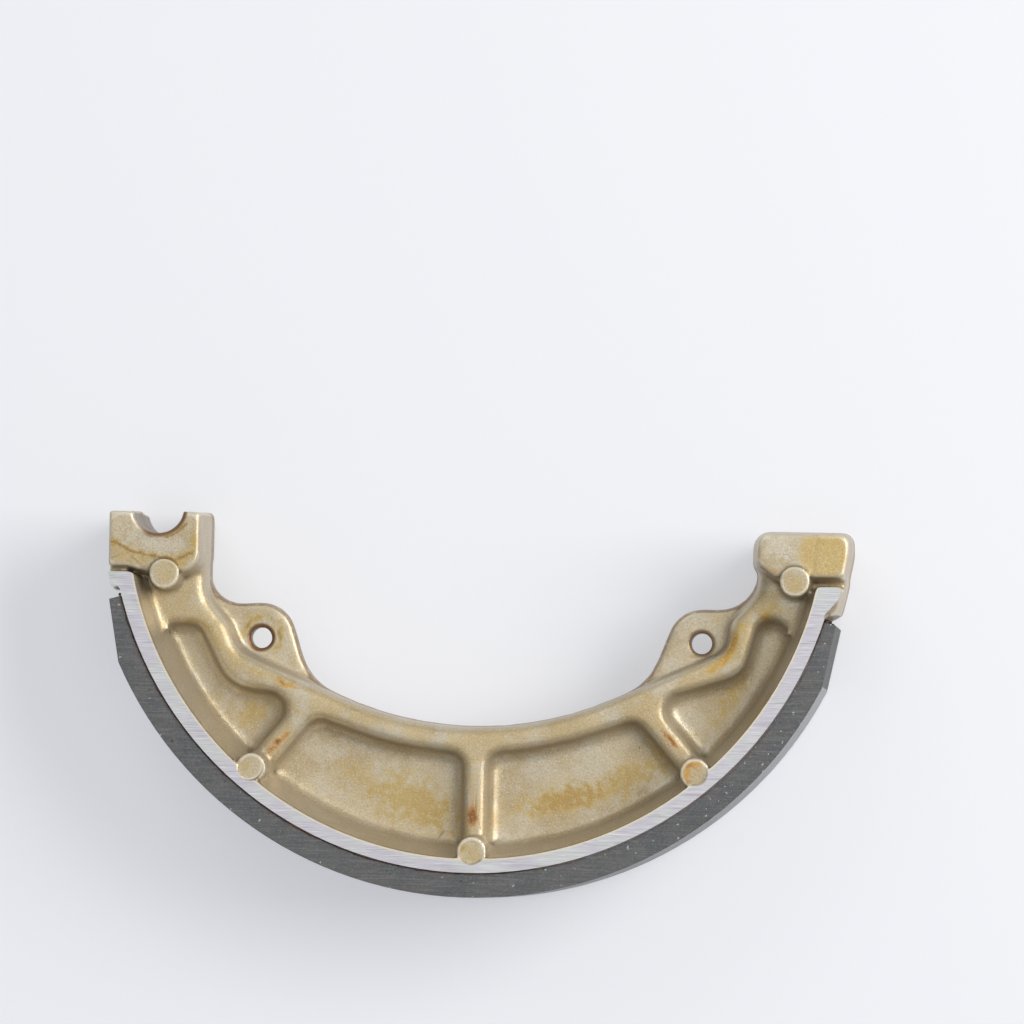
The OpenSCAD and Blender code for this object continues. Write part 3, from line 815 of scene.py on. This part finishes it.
# %% Masks of the casting
metal, tree, shader, where, facing = new_material("cast aluminium")
parts = add_node(tree, "ShaderNodeSeparateXYZ", Vector=where).outputs
height = calc(tree, "ABSOLUTE", parts["Z"])
milled = span(tree, height, 13.93, 13.99, smooth=False)
normal_z = calc(tree, "ABSOLUTE", add_node(tree, "ShaderNodeSeparateXYZ", Vector=facing).outputs["Z"])
wall = span(tree, normal_z, 0.85, 0.35)
mottle = cloud(tree, where, 0.9, 4.0, 0.65)
edge_bend, hollow_bend, seep = painted(tree, "bends")[:3]
# The crevice mask marks hollows for painted shade; the edge mask marks convex edges for a painted
# highlight.
crevice = all_of(tree, span(tree, hollow_bend, 0.30, 0.85), span(tree, mottle, 0.30, 0.55))
edge = span(tree, edge_bend, 0.20, 0.60)
fine_mottle = cloud(tree, where, 0.30, 2.0, 0.6)
tone = cloud(tree, where, 9.0, 3.0)
haze = cloud(tree, stretched(tree, where, (1.0, 1.0, 1.0), 30.0), 4.5, 3.0, 0.6)
grain = use_group(tree, grain_group, Position=where, Grain_Size=0.26, Wave_Size=2.2, Wave_Share=0.55)
print("masks", len(tree.nodes), "nodes")

# %% Colour of the cast skin
CHAMPAGNE = rgb(0.565, 0.475, 0.315)
TAN = rgb(0.475, 0.380, 0.230)
GREY_BEIGE = rgb(0.565, 0.515, 0.405)
SHADED_WALL_GREY = rgb(0.430, 0.375, 0.290)
CREST_GOLD = rgb(0.545, 0.410, 0.195)
cast_colour = blend_colour(tree, span(tree, tone, 0.36, 0.60), TAN, CHAMPAGNE)
cast_colour = coated(tree, cast_colour, span(tree, haze, 0.46, 0.66), 0.6, GREY_BEIGE)
# Painted shade: steep faces are coated darker and greyer.
cast_colour = coated(tree, cast_colour, wall, 0.55, SHADED_WALL_GREY)
crest = all_of(tree, span(tree, height, 5.6, 6.7), span(tree, height, 8.6, 7.5),
               span(tree, haze, 0.68, 0.36), span(tree, wall, 0.8, 0.2))
cast_colour = coated(tree, cast_colour, crest, 0.6, CREST_GOLD)
print("cast skin", len(tree.nodes), "nodes")

# %% Films and stains over it
ochre, gold, pale = painted(tree, "film")[:3]
orange, rust, dark = painted(tree, "spots")[:3]
# A coat: painted strength, tint, share, where its edge begins and ends, and how far noise bites.
stain_colours = [
    (ochre, rgb(0.500, 0.355, 0.115), 0.92, 0.00, 0.95, 0.50),
    (ochre, rgb(0.380, 0.215, 0.050), 0.60, 0.60, 1.20, 0.60),
    (gold, rgb(0.580, 0.410, 0.130), 0.75, 0.20, 0.60, 0.60),
    (pale, rgb(0.720, 0.680, 0.580), 0.60, 0.10, 0.85, 0.30),
    (orange, rgb(0.560, 0.310, 0.055), 0.84, 0.02, 0.85, 0.60),
    (seep, rgb(0.300, 0.180, 0.055), 0.80, 0.20, 0.80, 0.70),
    (rust, rgb(0.480, 0.220, 0.045), 0.85, 0.08, 0.45, 0.50),
    (rust, rgb(0.230, 0.085, 0.014), 0.88, 0.50, 0.85, 0.60),
    (dark, rgb(0.110, 0.070, 0.030), 0.75, 0.25, 0.85, 0.50),
]
for strength, tint, share, low, high, bite in stain_colours:
    mask = ragged(tree, strength, fine_mottle, low, high, bite)
    cast_colour = coated(tree, cast_colour, mask, share, tint)
light_grain, dark_grain = span(tree, fine_mottle, 0.50, 0.76), span(tree, fine_mottle, 0.48, 0.24)
cast_colour = coated(tree, cast_colour, light_grain, 0.34, rgb(0.86, 0.80, 0.66))
cast_colour = coated(tree, cast_colour, dark_grain, 0.45, rgb(0.25, 0.185, 0.105))
rusty = ragged(tree, rust, fine_mottle, 0.38, 0.62, 0.50)
print("stains", len(stain_colours))

# %% Painted shade in hollows and at pad feet, dark rings round notch and holes, painted highlights on edges
from_pad = nearest(tree, where, PADS)
on_top = span(tree, parts["Z"], 12.2, 13.2)
# A dark ring at each pad's foot is painted shade; a pale ring on each pad's rim is a painted
# highlight.
pad_foot = all_of(tree, on_top, span(tree, from_pad, PAD_R + 0.75, PAD_R + 0.1),
                  span(tree, from_pad, PAD_R - 0.1, PAD_R + 0.15))
pad_rim = all_of(tree, on_top, span(tree, from_pad, PAD_R - 0.45, PAD_R - 0.15),
                 span(tree, from_pad, PAD_R + 0.1, PAD_R))
# Painted shade: hollows and the feet of the pads are darkened towards near black.
hollow_and_pad_shade = strongest(tree, (crevice, 0.55), (pad_foot, 0.70))
cast_colour = blend_colour(tree, hollow_and_pad_shade, cast_colour, rgb(0.085, 0.058, 0.032))
from_pin = from_centre(tree, where, (0.0, 0.0))
notch_wall = all_of(tree, span(tree, from_pin, NOTCH_R + 0.45, NOTCH_R + 0.15),
                    span(tree, parts["X"], 3.5, 2.0, 0.6, 1.0))
cast_colour = coated(tree, cast_colour, notch_wall, 0.75, rgb(0.150, 0.115, 0.080))
notch_ring = all_of(tree, span(tree, from_pin, NOTCH_R + 1.0, NOTCH_R + 0.45),
                    span(tree, height, 12.7, 13.1), span(tree, parts["X"], -4.0, -1.5))
from_hole = nearest(tree, where, SPRING_HOLES)
from_left_hole = from_centre(tree, where, SPRING_HOLES[0])
hole_ring = all_of(tree, span(tree, from_hole, HOLE_R + 0.95, HOLE_R + 0.35),
                   span(tree, mottle, 0.26, 0.42))
left_ring = all_of(tree, span(tree, from_left_hole, HOLE_R + 0.85, HOLE_R + 0.45),
                   span(tree, mottle, 0.15, 0.40))
flange_edge = all_of(tree, span(tree, height, 2.45, 2.20), span(tree, normal_z, 0.93, 0.70),
                     span(tree, mottle, 0.30, 0.52, 0.35, 1.0))
ring = strongest(tree, (notch_ring, 0.95), (hole_ring, 0.7125), (left_ring, 0.95),
                 (flange_edge, 0.70))
cast_colour = blend_colour(tree, ring, cast_colour, rgb(0.220, 0.115, 0.045))
# Painted highlight: convex edges and pad rims are lightened to pale cream, except where a dark ring
# lies.
clear_edge = calc(tree, "MULTIPLY", edge, calc(tree, "SUBTRACT", 1.0, ring))
edge_highlight = strongest(tree, (clear_edge, 0.55), (pad_rim, 0.40))
cast_colour = blend_colour(tree, edge_highlight, cast_colour, rgb(0.840, 0.770, 0.610))
print("rings", len(tree.nodes), "nodes")

# %% Milled bands
strokes = use_group(tree, stroke_group, Position=where)
tint = cloud(tree, where, 5.0, 2.0, 0.5)
band_colour = blend_colour(tree, span(tree, tint, 0.40, 0.62),
                           rgb(0.580, 0.560, 0.600), rgb(0.595, 0.605, 0.598))
light_strokes, dark_strokes = (span(tree, strokes["Fine"], 0.52, 0.68),
                               span(tree, strokes["Fine"], 0.48, 0.32))
band_colour = coated(tree, band_colour, light_strokes, 0.75, rgb(0.80, 0.79, 0.83))
band_colour = coated(tree, band_colour, dark_strokes, 0.60, rgb(0.35, 0.34, 0.37))
band_colour = coated(tree, band_colour, strokes["Deep"], 0.45, rgb(0.29, 0.28, 0.30))
band_r = from_centre(tree, where, BAND_CENTRE)
ragged_r = calc(tree, "ADD", band_r,
                calc(tree, "MULTIPLY", calc(tree, "SUBTRACT", mottle, 0.5), 0.9))
# A burr along the band's inner edge, painted pale cream as a painted highlight where the edge catches
# light.
band_edge_glint = all_of(tree, span(tree, ragged_r, BAND_IN_R + 0.38, BAND_IN_R + 0.12),
              span(tree, mottle, 0.34, 0.56, 0.25, 0.85))
band_colour = blend_colour(tree, band_edge_glint, band_colour, rgb(0.80, 0.72, 0.50))
# Painted shade: the rim wall just under the band's inner edge is darkened along the lower part of the
# shoe.
shade_under_band_edge = all_of(tree, span(tree, height, 12.6, 13.4),
                    span(tree, band_r, BAND_IN_R - 0.9, BAND_IN_R - 0.3),
                    span(tree, mottle, 0.30, 0.50), span(tree, parts["Y"], -13.0, -15.0),
                    span(tree, from_pad, PAD_R + 0.1, PAD_R + 0.4))
cast_colour = coated(tree, cast_colour, shade_under_band_edge, 0.60, rgb(0.230, 0.150, 0.070))
feed(tree, shader, "Base Color", blend_colour(tree, milled, cast_colour, band_colour))
print("band", len(tree.nodes), "nodes")

# %% Sheen and relief of the casting
shine = calc(tree, "SUBTRACT", span(tree, milled, 0.0, 1.0, 0.46, 0.68, smooth=False),
             calc(tree, "MULTIPLY", rusty, 0.45), clamp=True)
feed(tree, shader, "Metallic", shine)
satin = span(tree, haze, 0.3, 0.7, 0.42, 0.33)
cast_rough = calc(tree, "ADD", satin, calc(tree, "MULTIPLY", rusty, 0.3))
feed(tree, shader, "Roughness", blend_value(tree, milled, cast_rough, 0.38))
parting = calc(tree, "MULTIPLY", span(tree, height, 0.22, 0.05), 0.10)
cast_height = calc(tree, "ADD", calc(tree, "MULTIPLY", grain["Height"], 0.075), parting)
band_height = calc(tree, "SUBTRACT", calc(tree, "MULTIPLY", strokes["Fine"], 0.014),
                   calc(tree, "MULTIPLY", strokes["Deep"], 0.012))
relief = add_node(tree, "ShaderNodeBump", Height=blend_value(tree, milled, cast_height, band_height),
                  Strength=0.7, Distance=1.0 * MM)
feed(tree, shader, "Normal", relief.outputs["Normal"])
casting.data.materials.append(metal)
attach(casting, "root")
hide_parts("shoe_casting")
print("material", metal.name, len(tree.nodes), "nodes")

# %% [markdown]
# The lining: a moulded strip of resin, fibres and metal chips. Its sides were cut together
# with the rim, and its outer face is ground to the drum's radius, which leaves it paler,
# with fine marks that run round the drum.

# %% Lining with worn edges
lining = merged_copy("friction_lining", "lining_strip")
shape = bmesh.new()
shape.from_mesh(lining.data)
bmesh.ops.dissolve_limit(shape, angle_limit=math.radians(0.2), verts=shape.verts, edges=shape.edges)
sharp = [e for e in shape.edges if e.is_manifold and e.calc_face_angle() > math.radians(35)]
bmesh.ops.bevel(shape, geom=sharp, offset=0.12 * MM, segments=2, profile=0.5, affect="EDGES",
                material=-1, clamp_overlap=True)
bmesh.ops.triangulate(shape, faces=shape.faces)
shape.to_mesh(lining.data)
shape.free()
for p in lining.data.polygons:
    p.use_smooth = False
print("lining", len(lining.data.polygons), "faces")

# %% Lining finish
friction, tree, shader, where, _ = new_material("friction lining")
parts = add_node(tree, "ShaderNodeSeparateXYZ", Vector=where).outputs
grain = use_group(tree, grain_group, Position=where, Grain_Size=0.3, Wave_Size=1.6, Wave_Share=0.5)
strokes = use_group(tree, stroke_group, Position=where)
height = calc(tree, "ABSOLUTE", parts["Z"])
side_face = span(tree, height, 13.5, 13.65)
radius = from_centre(tree, where, DRUM_AXIS)
tone = cloud(tree, where, 3.0, 4.0, 0.6)
base = blend_colour(tree, span(tree, tone, 0.38, 0.62),
                    rgb(0.096, 0.101, 0.104), rgb(0.120, 0.118, 0.116))
base = coated(tree, base, span(tree, grain["Fine"], 0.5, 0.72), 0.50, rgb(0.20, 0.20, 0.195))
base = coated(tree, base, span(tree, grain["Fine"], 0.48, 0.25), 0.35, rgb(0.055, 0.055, 0.052))
scored = all_of(tree, side_face, span(tree, strokes["Fine"], 0.5, 0.68))
base = coated(tree, base, scored, 0.40, rgb(0.23, 0.24, 0.245))
grooved = all_of(tree, side_face, span(tree, strokes["Fine"], 0.46, 0.30))
base = coated(tree, base, grooved, 0.45, rgb(0.050, 0.050, 0.048))
print("lining base", len(tree.nodes), "nodes")

# %% Flecks, stained inner edge and ground outer face
ALL_ALONG, CAM_SIDE = -60.0, 58.0
# A kind of fleck: spacing, reach as a share of it, from which x on, share and tint.
FLECKS = [
    (1.7, 0.08, ALL_ALONG, 0.85, rgb(0.46, 0.47, 0.46)),
    (2.2, 0.07, ALL_ALONG, 0.70, rgb(0.030, 0.028, 0.026)),
    (4.4, 0.05, ALL_ALONG, 0.60, rgb(0.22, 0.09, 0.05)),
    (1.0, 0.10, CAM_SIDE, 0.90, rgb(0.50, 0.52, 0.51)),
]
drift = add_node(tree, "ShaderNodeTexNoise", Vector=where, Scale=2.2, Detail=2.0).outputs["Color"]
warped = vector_math(tree, "MULTIPLY_ADD", drift, (0.7, 0.7, 0.7), where)["Vector"]
for spacing, reach, from_x, share, tint in FLECKS:
    cells = add_node(tree, "ShaderNodeTexVoronoi", Vector=warped, Scale=1.0 / spacing)
    by_cell = add_node(tree, "ShaderNodeSeparateColor", Color=cells.outputs["Color"]).outputs[0]
    fleck = all_of(tree, span(tree, by_cell, 0.50, 0.52),
                   span(tree, cells.outputs["Distance"], reach, reach * 1.6, 1.0, 0.0),
                   span(tree, parts["X"], from_x, from_x + 30.0))
    base = coated(tree, base, fleck, share, tint)
stained_edge = all_of(tree, span(tree, radius, LINING_IN_R + 0.55, LINING_IN_R + 0.05),
                      span(tree, tone, 0.42, 0.6))
base = coated(tree, base, stained_edge, 0.50, rgb(0.075, 0.032, 0.020))
ground = all_of(tree, span(tree, radius, DRUM_R - 0.10, DRUM_R - 0.03),
                span(tree, height, 13.68, 13.60))
round_marks = cloud(tree, stretched(tree, where, (0.12, 0.12, 4.5)), 1.0, 3.0, 0.7)
ground_tone = blend_colour(tree, span(tree, round_marks, 0.35, 0.65),
                           rgb(0.30, 0.31, 0.32), rgb(0.47, 0.49, 0.50))
base = coated(tree, base, ground, 0.90, ground_tone)
feed(tree, shader, "Base Color", base)
shader.inputs["Roughness"].default_value = 0.72
relief = add_node(tree, "ShaderNodeBump", Height=grain["Height"], Strength=0.6, Distance=0.06 * MM)
feed(tree, shader, "Normal", relief.outputs["Normal"])
lining.data.materials.append(friction)
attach(lining, "root")
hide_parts("friction_lining")
print("material", friction.name, len(tree.nodes), "nodes")

# %% [markdown]
# The adhesive. When the lining was pressed on, some adhesive came out along both sides of
# the joint and hardened as an uneven dark bead. The thin layer itself is the solid's. The
# bead is a small circle spun round the drum's axis, and noise makes it thick and thin.

# %% Layer with a squeezed-out bead
glue_piece = merged_copy("bond_line", "glue_line")
shape = bmesh.new()
shape.from_mesh(glue_piece.data)
BEAD_STEPS = 560
BEAD_R = 0.17
BEAD_Z = LINING_TOP - 0.02
END_GAP = 0.002
centre = DRUM_AXIS * MM
bead_at = RIM_R + BEAD_R
for side in (1, -1):
    ring = bmesh.ops.create_circle(shape, cap_ends=False, segments=7, radius=BEAD_R * MM)["verts"]
    bmesh.ops.rotate(shape, verts=ring, matrix=Matrix.Rotation(math.radians(90), 3, "X"))
    bmesh.ops.translate(shape, verts=ring, vec=Vector((bead_at, 0.0, side * BEAD_Z)) * MM)
    bmesh.ops.rotate(shape, verts=ring, matrix=Matrix.Rotation(LINING_FROM + END_GAP, 3, "Z"))
    bmesh.ops.translate(shape, verts=ring, vec=centre)
    start = list(dict.fromkeys(e for v in ring for e in v.link_edges))
    bmesh.ops.spin(shape, geom=ring + start, cent=centre, axis=(0, 0, 1), dvec=(0, 0, 0),
                   angle=LINING_TO - LINING_FROM - 2 * END_GAP, steps=BEAD_STEPS,
                   use_merge=False, use_duplicate=False)
    bead = dict.fromkeys(v for e in start for v in e.verts)
    newest = list(bead)
    while newest:
        newest = list(dict.fromkeys(e.other_vert(v) for v in newest for e in v.link_edges
                                    if e.other_vert(v) not in bead))
        bead.update(dict.fromkeys(newest))
    ends = list(dict.fromkeys(e for v in bead for e in v.link_edges if e.is_boundary))
    bmesh.ops.holes_fill(shape, edges=ends, sides=8)
    for v in bead:
        plan = Vector((v.co.x, v.co.y, 0.0)) - centre
        angle = math.atan2(plan.y, plan.x)
        heart = centre + Vector((math.cos(angle), math.sin(angle), 0.0)) * bead_at * MM
        heart.z = side * BEAD_Z * MM
        run = Vector((angle * 60.0, side * 3.0, 0.0))
        swell = 0.75 + 0.9 * noise.noise(run * 0.55) + 0.55 * noise.noise(run * 1.7)
        clean = min(1.0, max(0.0, (math.degrees(angle) + 100.0) / 25.0))
        v.co = heart + (v.co - heart) * min(1.45, max(0.15, swell - 0.55 * clean))
        v.co += plan.normalized() * 0.07 * noise.noise(run * 0.9 + Vector((0, 9, 0))) * MM
    print("bead side", side, len(bead), "points")

# %% Lumps at the lining's ends: angle, radius, height and size
LUMPS = [(-17.22, 61.5, 13.2, 0.42), (-17.15, 62.0, 12.9, 0.30), (-17.2, 61.25, 12.2, 0.36),
         (-17.15, 61.5, -12.9, 0.36), (-165.3, 61.2, 13.2, 0.26)]
for angle, radius, z, size in LUMPS:
    lump = bmesh.ops.create_icosphere(shape, subdivisions=3, radius=size * MM)["verts"]
    place = round_the_drum(radius, math.radians(angle), z) * MM
    for v in lump:
        v.co *= 1.0 + 0.45 * noise.noise(v.co / MM * 3.0 + Vector((angle, radius, z)))
        v.co.z *= 1.3
    bmesh.ops.translate(shape, verts=lump, vec=place)
bmesh.ops.recalc_face_normals(shape, faces=shape.faces)
for f in shape.faces:
    f.smooth = True
shape.to_mesh(glue_piece.data)
shape.free()
print("adhesive", len(glue_piece.data.polygons), "faces")

# %% Adhesive finish
glue, tree, shader, where, _ = new_material("cured adhesive")
tone = cloud(tree, where, 1.4, 4.0, 0.6)
base = blend_colour(tree, span(tree, tone, 0.35, 0.55),
                    rgb(0.022, 0.014, 0.011), rgb(0.075, 0.034, 0.020))
red = cloud(tree, where, 3.0, 3.0, 0.6)
base = coated(tree, base, span(tree, red, 0.58, 0.68), 0.80, rgb(0.20, 0.055, 0.025))
parts = add_node(tree, "ShaderNodeSeparateXYZ", Vector=where).outputs
wiped = all_of(tree, span(tree, parts["X"], 58.0, 74.0), span(tree, parts["X"], 110.5, 108.0))
base = coated(tree, base, wiped, 0.85, rgb(0.190, 0.175, 0.165))
feed(tree, shader, "Base Color", base)
shader.inputs["Roughness"].default_value = 0.55
lumps = cloud(tree, where, 0.3, 2.0)
relief = add_node(tree, "ShaderNodeBump", Height=lumps, Strength=0.5, Distance=0.05 * MM)
feed(tree, shader, "Normal", relief.outputs["Normal"])
glue_piece.data.materials.append(glue)
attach(glue_piece, "root")
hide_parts("bond_line")
print("material", glue.name, len(tree.nodes), "nodes")

# %% [markdown]
# A plain white floor carries the shoe and takes its shadow. It isn't part of the object. A
# room that is lit from all round leaves only a pale shadow, so Light Path lets the camera,
# and what is mirrored in the metal, see some of the white as it is. The rest is plain paint
# that takes the shadow.

# %% Floor
FLOOR_HALF_LENGTH = 3.0
GLOWING_SHARE = 0.45
floor_mesh = bpy.data.meshes.new("floor")
shape = bmesh.new()
bmesh.ops.create_grid(shape, x_segments=1, y_segments=1, size=FLOOR_HALF_LENGTH)
bmesh.ops.translate(shape, verts=shape.verts, vec=(0, 0, -HALF_W * MM))
shape.to_mesh(floor_mesh)
shape.free()
floor = bpy.data.objects.new("floor", floor_mesh)
scene.collection.objects.link(floor)
floor_paint = bpy.data.materials.new("white table")
floor_paint.use_nodes = True
tree = floor_paint.node_tree
shader = tree.nodes["Principled BSDF"]
shader.inputs["Base Color"].default_value = rgb(0.90, 0.905, 0.93)
shader.inputs["Roughness"].default_value = 0.9
path = tree.nodes.new("ShaderNodeLightPath").outputs
mirrored = calc(tree, "MAXIMUM", path["Is Glossy Ray"], path["Is Transmission Ray"])
seen = calc(tree, "MAXIMUM", path["Is Camera Ray"], mirrored)
own_white = add_node(tree, "ShaderNodeEmission", Color=rgb(0.885, 0.90, 0.95))
both = tree.nodes.new("ShaderNodeMixShader")
tree.links.new(calc(tree, "MULTIPLY", seen, GLOWING_SHARE), both.inputs[0])
tree.links.new(shader.outputs[0], both.inputs[1])
tree.links.new(own_white.outputs[0], both.inputs[2])
tree.links.new(both.outputs[0], tree.nodes["Material Output"].inputs["Surface"])
floor.data.materials.append(floor_paint)
print("floor at", -HALF_W, "mm")
